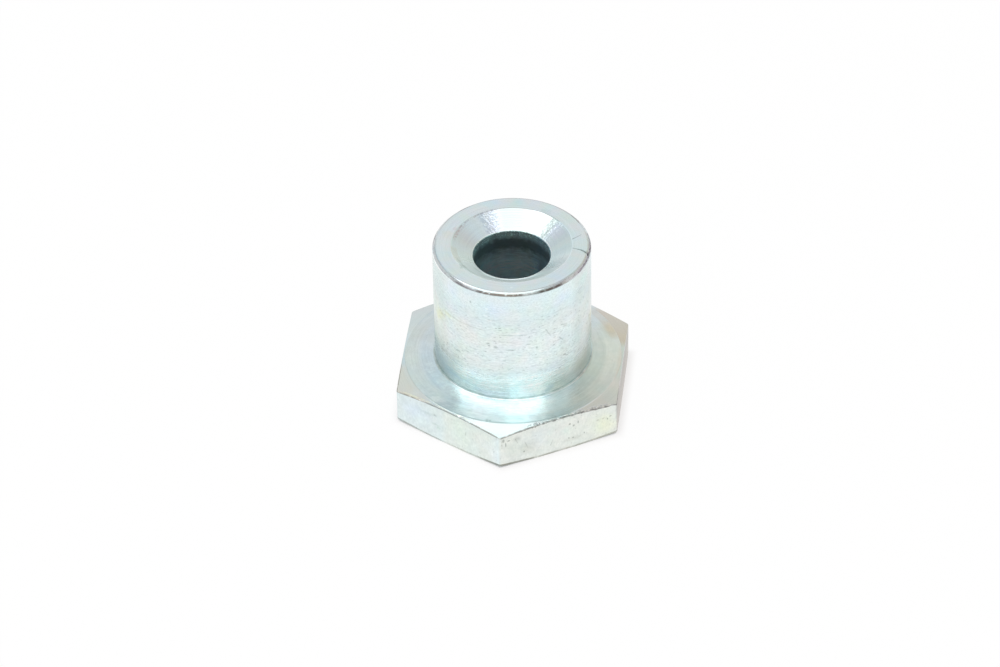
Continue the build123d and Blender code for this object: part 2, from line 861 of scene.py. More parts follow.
@dataclass(frozen=True)
class Grooves:
    """Fine tool marks: their lay, width, depth in relief steps, and streaks of colour.

    The tool's path may bow a little: the surface rises by bow, in relief steps, at one millimetre
    from bow_at_mm, four times that at two, and so on.
    """

    lay: Lay
    width_mm: float = 0.1
    length_mm: float = 6.0
    depth: float = 1.0
    streak_mm: float = 0.16
    streak_length_mm: float = 5.0
    streak_tint: float = 0.08
    bow: float = 0.0
    bow_at_mm: float = 0.0


@dataclass(frozen=True)
class Pits:
    """Small pits in the plating, each a short dash or a dot; where the shade is above 1 and there
    is no depth, they are painted glints instead.

    There is at most one in each cell of the given width and height, and the share is how many cells
    have one. The size is a pit's radius as part of its cell. Noise bends the pits out of round, and
    none is fainter than a set part of the deepest.
    """

    BEND = 0.7
    BEND_SCALE = 2.1
    CORE = 0.4
    CERTAIN = 0.9
    FAINTEST = 0.4

    wide_mm: float
    high_mm: float
    share: float
    size: float
    depth: float
    shade: float
    seed: float = 0.0
    within: Tuple[Shape, ...] = ()

    def mask(self, place: Place) -> Term:
        """1 in the pits.

        Args:
            place: The point that is asked about.

        Returns:
            How far the point is inside a pit.
        """
        graph = place.graph
        scale = (1 / self.wide_mm, 1 / self.wide_mm, 1 / self.high_mm)
        spread = graph.vector("MULTIPLY", place.point, scale)
        clouds = graph.node("ShaderNodeTexNoise", None, {
            "Vector": spread, "Scale": self.BEND_SCALE, "Detail": 1.0})
        bent = graph.vector("ADD", spread, graph.tint(graph.term(clouds, "Color"), self.BEND))
        moved = graph.vector("ADD", bent, (self.seed, self.seed, self.seed))
        cells = graph.node("ShaderNodeTexVoronoi", None, {"Vector": moved, "Scale": 1.0})
        chance, _, other = graph.split(graph.term(cells, "Color"))
        near = graph.term(cells, "Distance").rise(self.size, self.CORE * self.size)
        picked = chance.rise(1 - self.share, 1 - self.CERTAIN * self.share)
        strength = self.FAINTEST + (1 - self.FAINTEST) * other
        return reduce(mul, (shape.mask(place) for shape in self.within), near * picked * strength)


@dataclass(frozen=True)
class ZincPlate:
    """Bright zinc plate over turned steel, with faint tints, tool marks, pits, stains, and painted
    light and shade.

    The mottle is how far its colour drifts, in two clouded patterns: one from blue to straw, and
    one from green to pink. The crystals are a very fine, shallow relief.
    """

    CRYSTAL_MM = 0.16
    CRYSTAL_DEPTH = 0.3
    CLOUD_EDGES = (0.3, 0.7)
    WARM_SEED = 3.1
    ROSY_SEED = 8.7
    ROSY_GRAIN = 1.3
    BLUE = (-1.0, 0.0, 0.6)
    STRAW = (0.5, 0.0, -1.0)
    GREEN = (-1.0, 0.3, -0.3)
    PINK = (0.5, -0.6, 0.0)

    name: str
    colour: Colour = (0.75, 0.86, 0.88)
    roughness: float = 0.16
    mottle: float = 0.05
    mottle_mm: float = 3.0
    grooves: Grooves = Grooves(Lay.NONE)
    pits: Tuple[Pits, ...] = ()
    marks: Tuple[Mark, ...] = ()

    def material(self, body: BushingBody) -> bpy.types.Material:
        """Makes the material.

        Args:
            body: The bushing that it is for, whose sizes place the marks.

        Returns:
            The material.
        """
        made = bpy.data.materials.new(self.name)
        made.use_nodes = True
        graph = Graph(made.node_tree)
        place = Place(graph, body)
        colour = self._mottled(place)
        relief = (place.noise(self.CRYSTAL_MM) - 0.5) * self.CRYSTAL_DEPTH
        rough: Feed = self.roughness
        shine: Feed = 1.0
        if self.grooves.lay is not Lay.NONE:
            along = place.radius if self.grooves.lay is Lay.RADIUS else place.z
            colour = self._streaked(place, colour, along)
            relief = relief + self._grooved(place, along)
        for pits in self.pits:
            found = pits.mask(place)
            colour = graph.mix(found, colour, graph.tint(colour, pits.shade))
            relief = relief - found * pits.depth
        for mark in self.marks:
            found = mark.mask(place)
            colour = graph.mix(found, colour, mark.tint, "MULTIPLY")
            if mark.depth:
                relief = relief - found * mark.depth
            if mark.roughness:
                rough = rough + found * mark.roughness
            if mark.dullness:
                shine = shine - found * mark.dullness
        bump = graph.node("ShaderNodeBump", None, {
            "Height": relief, "Distance": RELIEF_STEP, "Strength": 1.0})
        shader = graph.node("ShaderNodeBsdfPrincipled", None, {
            "Base Color": colour, "Metallic": shine, "Roughness": rough,
            "Normal": graph.term(bump)})
        graph.node("ShaderNodeOutputMaterial", None, {"Surface": graph.term(shader)})
        return made

    def _grooved(self, place: Place, along: Term) -> Term:
        """The relief that the tool left.

        Args:
            place: The point of the surface.
            along: Its distance across the grooves.

        Returns:
            The height there, in relief steps.
        """
        grooves = self.grooves
        relief = grooves.depth * place.lay_noise(along, grooves.width_mm, grooves.length_mm)
        if grooves.bow:
            relief = relief + (along - grooves.bow_at_mm) ** 2 * grooves.bow
        return relief

    def _mottled(self, place: Place) -> Term:
        """The plate's own colour, which drifts from blue to straw and from green to pink.

        Args:
            place: The point of the surface.

        Returns:
            The colour there.
        """
        graph = place.graph
        warm = place.noise(self.mottle_mm, seed=self.WARM_SEED).rise(*self.CLOUD_EDGES)
        rosy = place.noise(self.ROSY_GRAIN * self.mottle_mm, seed=self.ROSY_SEED)
        rosy = rosy.rise(*self.CLOUD_EDGES)
        first = graph.mix(warm, self._drift(self.BLUE), self._drift(self.STRAW))
        second = graph.mix(rosy, self._drift(self.GREEN), self._drift(self.PINK))
        both = graph.mix(1.0, first, second, "MULTIPLY")
        return graph.mix(1.0, both, self.colour, "MULTIPLY")

    def _drift(self, way: Colour) -> Colour:
        """The tint at the mottle's far end in one direction of colour."""
        red, green, blue = (1 + self.mottle * part for part in way)
        return red, green, blue

    def _streaked(self, place: Place, colour: Term, along: Term) -> Term:
        """Lighter and darker streaks along the grooves.

        Args:
            place: The point of the surface.
            colour: The plate's colour.
            along: The point's distance across the grooves.

        Returns:
            The streaked colour.
        """
        grooves = self.grooves
        streak = place.lay_noise(along, grooves.streak_mm, grooves.streak_length_mm, detail=3.0,
                                 roughness=0.6, seed=4.2)
        return place.graph.tint(colour, 1 + (streak - 0.5) * 2 * grooves.streak_tint)


# ---------------------------------------------------------------------------------------------
# The studio
# ---------------------------------------------------------------------------------------------

@dataclass(frozen=True)
class Glow:
    """A soft-edged patch of the surroundings, by where it lies from the bushing.

    The bearing is 0 straight behind the bushing as the camera stands, and grows to the right.
    """

    bearing_deg: float
    elevation_deg: float
    core_deg: float
    reach_deg: float
    colour: Colour

    def direction(self, turn_deg: float) -> Point:
        """Its direction in the row's frame, when the camera stands turned by turn_deg."""
        bearing, lift = radians(90.0 + turn_deg - self.bearing_deg), radians(self.elevation_deg)
        return cos(bearing) * cos(lift), sin(bearing) * cos(lift), sin(lift)


@dataclass(frozen=True)
class Lamp:
    """A round soft lamp overhead; its place and radius are in units of the height it hangs at."""

    across: float
    ahead: float
    radius: float
    radiance: float

    def hang(self, height: float, right: Vector, away: Vector) -> bpy.types.Object:
        """Hangs the lamp over the bushing, facing down.

        Args:
            height: How high it hangs, in metres.
            right: The studio's right as the camera stands.
            away: The studio's back as the camera stands.

        Returns:
            The lamp.
        """
        radius = self.radius * height
        area = pi * radius ** 2
        light = bpy.data.lights.new("soft_lamp", "AREA")
        light.shape = "DISK"
        light.size = 2 * radius
        # A flat lamp sends out pi times its radiance from each unit of its area
        light.energy = self.radiance * pi * area
        made = bpy.data.objects.new("soft_lamp", light)
        made.location = (right * self.across + away * self.ahead + Vector((0, 0, 1))) * height
        bpy.context.scene.collection.objects.link(made)
        return made


@dataclass
class Studio:
    """Plain pale floor, soft light from above, pale surroundings and the camera.

    The floor is matte under the bushing, out to floor_hidden. There it starts to glow, and the glow
    grows over floor_glow_span from the first share of floor_glow to the second.
    """

    floor_half: float = 1.5
    floor_gap: float = 0.01 * MM
    floor_matte: Colour = (0.88, 0.85, 0.86)
    floor_glow: Tuple[float, float] = (0.62, 0.98)
    floor_glow_span: Tuple[float, float] = (13.45 * MM, 14.8 * MM)
    floor_hidden: Tuple[float, float] = (13.2 * MM, 13.45 * MM)
    azimuth_deg: float = 6.87
    elevation_deg: float = 39.06
    roll_deg: float = -1.02
    distance: float = 610.8 * MM
    aim: Tuple[float, float, float] = (-1.48 * MM, -0.98 * MM, 9.17 * MM)
    lens_mm: float = 180.0
    near_clip: float = 10 * MM
    lamp_height: float = 0.5
    lamps: Tuple[Lamp, ...] = (Lamp(-0.40, -0.62, 0.97, 1.0), Lamp(-0.13, -0.60, 0.72, 0.20))
    room: Colour = (0.74, 0.74, 0.73)
    glows: Tuple[Glow, ...] = (
        Glow(0, 90, 12, 27, (0.12, 0.12, 0.12)),
        Glow(0, 36, 10, 30, (0.86, 0.84, 0.85)),
        Glow(28, 40, 6, 22, (0.75, 0.71, 0.62)),
        Glow(17, 54, 3, 14, (0.55, 0.55, 0.49)),
        Glow(-30, 47, 8, 22, (0.68, 0.73, 0.76)),
        Glow(-75, 50, 6, 26, WHITE),
        Glow(-176, 15, 26, 70, (1.03, 1.06, 1.04)),
        Glow(172, 17, 4, 18, (1.28, 1.30, 1.28)),
        Glow(-65, 12, 15, 42, (0.55, 0.57, 0.58)),
        Glow(70, 14, 15, 40, (0.64, 0.56, 0.50)),
        Glow(110, 12, 12, 38, (0.66, 0.62, 0.56)),
    )

    def directions(self) -> Tuple[Vector, Vector]:
        """The studio's right and back, level, as the camera stands."""
        turn = radians(self.azimuth_deg)
        return Vector((cos(turn), sin(turn), 0.0)), Vector((-sin(turn), cos(turn), 0.0))

    def camera(self) -> bpy.types.Object:
        """A long lens that looks down on the bushing, slightly rolled.

        Returns:
            The camera.
        """
        lift, roll = radians(self.elevation_deg), radians(self.roll_deg)
        level, away = self.directions()
        back = away * -cos(lift) + Vector((0, 0, sin(lift)))
        rise = back.cross(level)
        right = level * cos(roll) + rise * sin(roll)
        up = back.cross(right)
        place = Vector(self.aim) + back * self.distance
        lens = bpy.data.cameras.new("camera")
        lens.lens = self.lens_mm
        lens.clip_start = self.near_clip
        made = bpy.data.objects.new("camera", lens)
        bpy.context.scene.collection.objects.link(made)
        turned = Matrix((right, up, back)).transposed().to_4x4()
        made.matrix_world = Matrix.Translation(place) @ turned
        bpy.context.scene.camera = made
        return made

    def floor(self) -> bpy.types.Object:
        """A wide white floor just under the bushing, matte where the bushing hides it.

        Returns:
            The floor.
        """
        half, z = self.floor_half, CAD_BOX[0][2] - self.floor_gap
        mesh = bpy.data.meshes.new("floor")
        mesh.from_pydata([(-half, -half, z), (half, -half, z), (half, half, z), (-half, half, z)],
                         [], [(0, 1, 2, 3)])
        made = bpy.data.objects.new("floor", mesh)
        bpy.context.scene.collection.objects.link(made)
        paint = bpy.data.materials.new("floor")
        paint.use_nodes = True
        graph = Graph(paint.node_tree)
        path = graph.node("ShaderNodeLightPath")
        seen = graph.term(path, "Is Camera Ray").most(graph.term(path, "Is Glossy Ray"))
        seen = seen.most(graph.term(path, "Is Transmission Ray"))
        x, y, _ = graph.split(graph.term(graph.node("ShaderNodeTexCoord"), "Object"))
        reach = hexagon_reach(x, y)
        near, far = self.floor_glow
        share = near + reach.rise(*self.floor_glow_span) * (far - near)
        glow = seen * (reach.rise(*self.floor_hidden) * share)
        matte = graph.node("ShaderNodeBsdfDiffuse", None, {"Color": self.floor_matte})
        white = graph.node("ShaderNodeEmission", None, {"Color": WHITE, "Strength": 1.0})
        shade = graph.node("ShaderNodeMixShader", None, {
            0: glow, 1: graph.term(matte), 2: graph.term(white)})
        graph.node("ShaderNodeOutputMaterial", None, {"Surface": graph.term(shade)})
        mesh.materials.append(paint)
        return made

    def surroundings(self) -> None:
        """A pale room with lighter and darker parts, and white for the camera itself."""
        world = bpy.data.worlds.new("surroundings")
        bpy.context.scene.world = world
        world.use_nodes = True
        graph = Graph(world.node_tree)
        look = graph.term(graph.node("ShaderNodeTexCoord"), "Generated")
        colour: Feed = self.room
        for glow in self.glows:
            facing = graph.vector("DOT_PRODUCT", look, glow.direction(self.azimuth_deg))
            mask = facing.rise(cos(radians(glow.reach_deg)), cos(radians(glow.core_deg)))
            colour = graph.mix(mask, colour, glow.colour)
        camera = graph.term(graph.node("ShaderNodeLightPath"), "Is Camera Ray")
        shade = graph.node("ShaderNodeBackground", None, {
            "Color": graph.mix(camera, colour, WHITE), "Strength": 1.0})
        graph.node("ShaderNodeOutputWorld", None, {"Surface": graph.term(shade)})

    def build(self) -> None:
        """Makes the whole studio."""
        bpy.context.scene.view_settings.view_transform = "Standard"
        self.camera()
        self.floor()
        for lamp in self.lamps:
            lamp.hang(self.lamp_height, *self.directions())
        self.surroundings()


# ---------------------------------------------------------------------------------------------
# This bushing's own finishes and damage
# ---------------------------------------------------------------------------------------------

SHAPE = BushingBody.from_frame()
END_MM = SHAPE.overall_length / MM
BARREL_MM = SHAPE.barrel_radius / MM
FLAT_MM = SHAPE.flat_radius / MM
FACE_MM = SHAPE.foot_height / MM
FACE_FALL = tan(radians(SHAPE.face_slope_deg))
LEFT_FLAT_DEG = 240.0
RIGHT_FLAT_DEG = 300.0
# Painted dark reflection of the room in front, for the lower edge of the rim's chamfer
RIM_DARK_REFLECTION = (0.34, 0.27, 0.24)
DARK_EDGE = (0.45, 0.44, 0.43)


def around(angle_deg: float, radius_mm: float, height_mm: float) -> Point:
    """A point in millimetres, from its angle round the axis, radius and height."""
    turn = radians(angle_deg)
    return radius_mm * cos(turn), radius_mm * sin(turn), height_mm


def on_end(angle_deg: float, radius_mm: float) -> Point:
    """A point of the end face."""
    return around(angle_deg, radius_mm, END_MM)


def on_face(angle_deg: float, radius_mm: float) -> Point:
    """A point of the flange's conical face."""
    return around(angle_deg, radius_mm, FACE_MM - (radius_mm - BARREL_MM) * FACE_FALL)


def on_barrel(angle_deg: float, height_mm: float) -> Point:
    """A point of the barrel's wall."""
    return around(angle_deg, BARREL_MM, height_mm)


def on_flat(flat_deg: float, along_mm: float, height_mm: float) -> Point:
    """A point of one spanner flat.

    Args:
        flat_deg: Which way the flat faces.
        along_mm: How far along the flat the point is from the middle.
        height_mm: How high it is.

    Returns:
        The point in millimetres.
    """
    turn = radians(flat_deg)
    return (FLAT_MM * cos(turn) - along_mm * sin(turn),
            FLAT_MM * sin(turn) + along_mm * cos(turn), height_mm)


on_left_flat = partial(on_flat, LEFT_FLAT_DEG)
on_right_flat = partial(on_flat, RIGHT_FLAT_DEG)


def side(tint: Colour, angle_deg: float, half_deg: float, soft_deg: float) -> Mark:
    """A tint of all that faces one way."""
    return Mark(tint, (Sector(angle_deg, half_deg, soft_deg),))


def ring(tint: Colour, radius_mm: float, half_mm: float, soft_mm: float, *within: Shape,
         wander_mm: float = 0.0, **effects: float) -> Mark:
    """A tinted ring about the axis, or the part of it that lies within other shapes."""
    band = Band(Measure.RADIUS, radius_mm, half_mm, soft_mm, wander_mm)
    return Mark(tint, (band, *within), **effects)


def stripe(tint: Colour, height_mm: float, half_mm: float, soft_mm: float, *within: Shape,
           wander_mm: float = 0.0, **effects: float) -> Mark:
    """A tinted stripe at one height, or the part of it that lies within other shapes."""
    band = Band(Measure.HEIGHT, height_mm, half_mm, soft_mm, wander_mm)
    return Mark(tint, (band, *within), **effects)


def stain_and_light_patch(tint: Colour, middle: Point, wide_mm: float, high_mm: float) -> Mark:
    """A soft tinted patch: some are stains, and some are painted light, shade or reflection."""
    return Mark(tint, (Spot(middle, wide_mm, high_mm, core=0.0, wander=0.35),))


def scratches(tint: Colour, depth: float, *lines: Stroke) -> Mark:
    """Several scratches of one kind."""
    return Mark(tint, (AnyOf(lines),), depth)


def nicks_and_glints(tint: Colour, depth: float, where: Callable[[float, float], Point],
          *spots: Tuple[float, float, float, float]) -> Mark:
    """Several small sharp marks of one kind, all on one surface: nicks where the tint is darker,
    painted glints where it is lighter.

    Args:
        tint: What they do to the colour.
        depth: Their depth in relief steps.
        where: What turns a spot's first two numbers into a point of the surface.
        spots: Each one's place on the surface, half width and half height.

    Returns:
        All of them as one mark.
    """
    return Mark(tint, (AnyOf(tuple(Spot(where(*place), wide, high, core=0.35, wander=0.0)
                                   for *place, wide, high in spots)),), depth)


# Knocks in the barrel's rim and in the flange's upper edge
DENTS = (
    Dent(-5.0, 9.55 * MM, 22.25 * MM, 0.6 * MM, 0.16 * MM),
    Dent(-40.0, 9.6 * MM, 22.1 * MM, 0.5 * MM, 0.06 * MM),
    Dent(300.0, 13.55 * MM, 5.2 * MM, 0.5 * MM, 0.05 * MM),
    Dent(309.0, 13.65 * MM, 5.15 * MM, 0.4 * MM, 0.05 * MM),
    Dent(290.0, 13.7 * MM, 5.15 * MM, 0.35 * MM, 0.04 * MM),
    Dent(247.0, 13.6 * MM, 5.2 * MM, 0.4 * MM, 0.04 * MM),
)

# Out of sight but for its edge, darkened along the outline: painted shade where it meets the floor
UNDERSIDE = ZincPlate(
    "underside", grooves=Grooves(Lay.RADIUS),
    marks=(
        Mark(DARK_EDGE, (Band(Measure.INSIDE_FLATS, 0.0, 0.1, 0.1, 0.1), Broken(0.8, 0.6))),
    ))

# The six spanner flats: a tint for each near side, painted light and shade, smudges, scratches,
# nicks and worn upper edges
FLATS = ZincPlate(
    "spanner_flats", roughness=0.28, mottle=0.012, mottle_mm=1.8,
    pits=(
        Pits(0.45, 0.7, share=0.34, size=0.3, depth=2.0, shade=0.82, seed=1.3),
        Pits(0.8, 0.8, share=0.35, size=0.22, depth=2.0, shade=0.74, seed=2.6,
             within=(Sector(300, 29, 2),)),
    ),
    marks=(
        # Each near flat's tint: partly the plate's own hue, and partly painted light, set by how
        # the light falls on that side
        side((1.16, 1.05, 0.975), 300, 29, 2),
        side((1.1, 1.07, 1.05), 240, 29, 2),
        side((1.03, 1.0, 0.955), 252, 12, 5),
        # Painted shade on the flat at the right, which faces away from the lamps; it is painted
        # lighter towards its foot, a painted reflection of the white floor
        side((0.51, 0.405, 0.345), 0, 29, 2),
        Mark((1.5, 1.5, 1.55), (Band(Measure.ABOVE_FOOT, 0.0, 0.9, 2.4), Sector(0, 29, 2))),
        Mark((0.9, 0.91, 0.91), (Broken(1.1, 0.45, 0.3, stretch=(1.0, 1.0, 0.8), seed=11.0),)),
        Mark((0.9, 0.91, 0.91), (Broken(0.2, 0.5, 0.35, stretch=(1.0, 1.0, 1.8), seed=12.0),)),
        Mark((1.08, 1.07, 1.06), (Broken(0.3, 0.3, 0.15, stretch=(1.0, 1.0, 1.5), seed=13.0),)),
        stain_and_light_patch((0.97, 0.99, 1.07), on_left_flat(-5.0, 2.9), 3.2, 2.6),
        stain_and_light_patch((0.99, 1.02, 0.98), on_left_flat(2.0, 3.0), 2.6, 3.0),
        stain_and_light_patch((1.02, 0.99, 0.98), on_left_flat(4.9, 3.8), 1.6, 1.8),
        stain_and_light_patch((1.08, 1.055, 1.08), on_left_flat(6.9, 2.0), 1.6, 2.2),
        stain_and_light_patch((1.04, 1.045, 1.03), on_left_flat(-4.4, 2.0), 1.6, 1.6),
        stain_and_light_patch((0.87, 0.89, 0.88), on_left_flat(-3.4, 3.5), 1.5, 0.4),
        stain_and_light_patch((0.78, 0.79, 0.8), on_left_flat(-2.0, 3.7), 0.6, 0.3),
        stain_and_light_patch((0.86, 0.89, 0.86), on_left_flat(-2.0, 2.3), 0.9, 0.25),
        stain_and_light_patch((0.84, 0.89, 0.85), on_left_flat(-1.5, 1.95), 0.5, 0.35),
        stain_and_light_patch((1.055, 1.065, 0.92), on_right_flat(5.9, 2.2), 2.8, 3.0),
        stain_and_light_patch((0.96, 1.0, 1.04), on_right_flat(-2.7, 3.1), 2.2, 2.0),
        stain_and_light_patch((0.95, 1.02, 1.01), on_right_flat(1.0, 2.9), 1.1, 0.9),
        stain_and_light_patch((0.78, 0.79, 0.79), on_right_flat(-5.5, 4.0), 0.9, 0.6),
        stain_and_light_patch((0.86, 0.87, 0.86), on_right_flat(-4.2, 2.2), 1.8, 1.6),
        stain_and_light_patch((0.88, 0.87, 0.86), on_right_flat(2.0, 1.4), 2.0, 0.5),
        stain_and_light_patch((0.93, 0.94, 0.93), on_right_flat(-6.0, 2.2), 1.6, 2.4),
        scratches((0.74, 0.75, 0.74), 1.0,
                  Stroke(on_right_flat(-5.7, 3.9), on_right_flat(-5.4, 3.2), 0.12, 0.1),
                  Stroke(on_right_flat(-4.5, 3.1), on_right_flat(-4.1, 2.1), 0.1, 0.1),
                  Stroke(on_right_flat(-1.1, 1.4), on_right_flat(-0.8, 2.1), 0.1, 0.1),
                  Stroke(on_left_flat(2.6, 2.8), on_left_flat(2.7, 3.3), 0.09, 0.1)),
        nicks_and_glints((0.6, 0.62, 0.61), 2.0, on_right_flat,
              (-7.3, 4.2, 0.22, 0.4), (-7.0, 3.5, 0.14, 0.5), (-6.6, 4.0, 0.3, 0.16),
              (-4.6, 1.6, 0.16, 0.2), (1.35, 1.65, 0.12, 0.2), (1.9, 1.55, 0.2, 0.14),
              (1.5, 3.8, 0.14, 0.24), (2.0, 3.4, 0.2, 0.22), (2.6, 3.75, 0.13, 0.3),
              (3.4, 1.8, 0.12, 0.2), (6.9, 3.2, 0.26, 0.12), (6.5, 2.9, 0.14, 0.2)),
        Mark((0.62, 0.64, 0.62), (Stroke(on_right_flat(-7.52, 3.1), on_right_flat(-7.5, 4.7),
                                         0.08), Broken(0.25, 0.6, 0.1, seed=14.0)), depth=1.0),
        # Painted highlight down the rounded front corner
        Mark((1.03, 1.05, 1.06), (Stroke(on_left_flat(7.5, 0.5), on_left_flat(7.5, 4.7), 0.14),)),
        Mark(DARK_EDGE, (Band(Measure.BELOW_EDGE, 0.05, 0.06, 0.06, 0.05), Sector(255, 74, 6),
                         Broken(0.9, 0.92, 0.12, seed=2.0)), depth=0.5, roughness=0.2),
        Mark((0.46, 0.45, 0.46), (Band(Measure.BELOW_EDGE, 0.08, 0.12, 0.08, 0.14),
                                  Sector(302, 20, 4), Broken(0.4, 0.38, 0.1, seed=5.0)), depth=1.0,
             roughness=0.2),
        # From here to the end of the flats: darker along the foot, painted contact shade where the
        # flats meet the floor
        Mark((0.77, 0.76, 0.74),
             (Band(Measure.ABOVE_FOOT, 0.08, 0.14, 0.12, 0.08), Broken(1.6, 0.85, 0.2, seed=6.0)),
             roughness=0.1),
        Mark((0.78, 0.77, 0.75), (Band(Measure.ABOVE_FOOT, 0.07, 0.14, 0.12, 0.08),
                                  AnyOf((Sector(295, 34, 4), Sector(220, 12, 6))),
                                  Broken(1.2, 0.8, 0.15, seed=7.0)), roughness=0.1),
        Mark((0.7, 0.7, 0.69), (Band(Measure.ABOVE_FOOT, 0.08, 0.14, 0.12), Sector(272, 10, 5))),
    ))

# The bevels at the hexagon's corners, each tinted by the way it faces, with painted glints and worn
# edges
CORNERS = ZincPlate(
    "corner_bevels", mottle=0.02, grooves=Grooves(Lay.RADIUS, depth=0.4),
    marks=(
        # Each corner's tint by the way it faces: partly the plate's own hue, and partly painted
        # reflection of what that side sees
        side((1.19, 1.01, 0.89), 210, 12, 8),
        stain_and_light_patch((1.0, 1.04, 1.08), on_face(217, 14.0), 1.1, 0.8),
        ring((0.98, 1.015, 1.05), 13.3, 0.1, 0.6, Sector(210, 14, 8)),
        side((1.0, 0.945, 0.93), 270, 12, 8),
        side((1.18, 1.07, 1.06), 328, 12, 8),
        side((0.97, 0.94, 0.91), 150, 12, 8),
        side((0.96, 0.8, 0.71), 30, 12, 8),
        Mark(DARK_EDGE, (Band(Measure.INSIDE_FLATS, 0.0, 0.07, 0.06, 0.05), Sector(266, 66, 14),
                         Broken(0.7, 0.85, 0.12, seed=5.0)), depth=0.5, roughness=0.2),
        Mark((1.25, 1.15, 1.0), (Band(Measure.INSIDE_FLATS, 0.22, 0.07, 0.08, 0.06),
                                 Sector(232, 18, 6), Broken(1.0, 0.7, 0.15, seed=9.0))),
        Mark((0.62, 0.62, 0.62), (Band(Measure.INSIDE_FLATS, 0.15, 0.15, 0.15, 0.15),
                                  Sector(304, 20, 6), Broken(0.5, 0.5, 0.08, seed=8.0)), depth=2.0,
             roughness=0.2),
        # Painted glints along the ragged right edge
        Mark((1.4, 1.35, 1.3), (Band(Measure.INSIDE_FLATS, 0.12, 0.12, 0.1, 0.12),
                                Sector(306, 18, 5), Broken(0.28, 0.42, 0.06, seed=4.0))),
    ))

# The flange's conical face, with smudges, a worn turned circle, a darker foot, and painted light
# and shade that shape its highlight
FLANGE_FACE = ZincPlate(
    "flange_face", roughness=0.18, mottle=0.02,
    grooves=Grooves(Lay.RADIUS, streak_tint=0.1, bow=0.4, bow_at_mm=11.3),
    marks=(
        ring((1.03, 1.0, 0.95), 12.8, 0.8, 0.8, Sector(195, 25, 15)),
        stain_and_light_patch((1.06, 0.93, 0.8), on_face(28, 13.0), 2.2, 2.2),
        ring((0.97, 0.9, 0.86), 12.9, 0.4, 0.5, Sector(33, 11, 6)),
        Mark((0.99, 0.93, 0.9), (Band(Measure.INSIDE_FLATS, 0.0, 0.3, 0.6), Sector(4, 28, 8))),
        stain_and_light_patch((0.94, 0.95, 0.96), on_face(234, 12.9), 1.1, 0.5),
        stain_and_light_patch((0.84, 0.88, 0.86), on_face(251, 12.1), 0.5, 0.4),
        stain_and_light_patch((0.94, 0.91, 0.9), on_face(304, 12.9), 1.0, 0.5),
        # Painted light on the right of the face
        ring((1.15, 1.1, 1.09), 12.5, 0.8, 0.6, Sector(350, 22, 12)),
        ring((1.09, 1.06, 1.04), 12.4, 0.8, 0.6, Sector(202, 12, 12)),
        side((0.93, 0.92, 0.92), 158, 10, 10),
        # Painted highlight: the front highlight carried on to the right
        ring((1.12, 1.05, 1.02), 11.1, 1.1, 0.5, Sector(306, 8, 7)),
        stain_and_light_patch((1.19, 1.11, 1.11), on_face(301, 10.4), 1.1, 1.0),
        ring((1.12, 1.08, 1.06), 12.7, 0.5, 0.4, Sector(240, 10, 6)),
        # Painted highlight streak near the foot, on the left of the front highlight
        ring((1.07, 1.06, 1.05), 10.2, 0.3, 0.3, Sector(228, 7, 7)),
        ring((0.94, 0.9, 0.89), 12.8, 0.4, 0.4, Sector(292, 5, 4)),
        # Painted shade that dims the front highlight
        ring((0.84, 0.8, 0.8), 12.3, 1.1, 1.0, Sector(259, 8, 8)),
        ring((0.855, 0.855, 0.86), 11.0, 0.5, 0.4, Sector(243, 4, 5)),
        ring((1.03, 0.985, 0.98), 11.3, 1.0, 0.8, Sector(272, 16, 10)),
        stain_and_light_patch((0.96, 0.99, 1.01), on_face(217, 11.5), 2.4, 2.0),
        stain_and_light_patch((1.1, 1.09, 1.07), on_face(227, 12.6), 1.9, 1.0),
        stain_and_light_patch((0.91, 0.92, 0.95), on_face(222, 10.85), 0.8, 0.6),
        stain_and_light_patch((0.965, 0.965, 0.965), on_face(322, 11.5), 2.2, 1.8),
        Mark((0.92, 0.93, 0.93), (Broken(0.25, 0.5, 0.3, stretch=(3.0, 3.0, 1.0), seed=14.0),)),
        Mark((0.87, 0.89, 0.9),
             (Broken(0.13, 0.45, 0.2, stretch=(9.0, 1.0, 1.0), seed=16.0), Sector(268, 26, 12))),
        nicks_and_glints((0.66, 0.7, 0.7), 1.0, on_face, (262, 13.1, 0.25, 0.25), (263.5, 13.05, 0.18, 0.18)),
        # Painted shade that dims the outer part of the front highlight
        ring((0.9, 0.93, 0.93), 12.8, 0.6, 0.8, Sector(258, 22, 14)),
        ring((0.86, 0.9, 0.9), 12.7, 0.45, 0.3,
             Broken(0.3, 0.5, 0.15, stretch=(6.0, 2.0, 1.0), seed=3.0), Sector(262, 34, 10)),
        # Painted highlight streaks near the foot, on the left of the front highlight
        ring((1.12, 1.12, 1.1), 10.4, 0.5, 0.4,
             Broken(0.25, 0.4, 0.15, stretch=(5.0, 3.0, 1.0), seed=6.0), Sector(222, 20, 10)),
        ring((0.6, 0.67, 0.65), 9.65, 0.12, 0.12, Broken(0.9, 0.8, 0.2, seed=1.0), wander_mm=0.06,
             roughness=0.1),
        ring((0.74, 0.79, 0.78), 13.22, 0.06, 0.08, Sector(266, 32, 16), wander_mm=0.03,
             roughness=0.1),
    ))
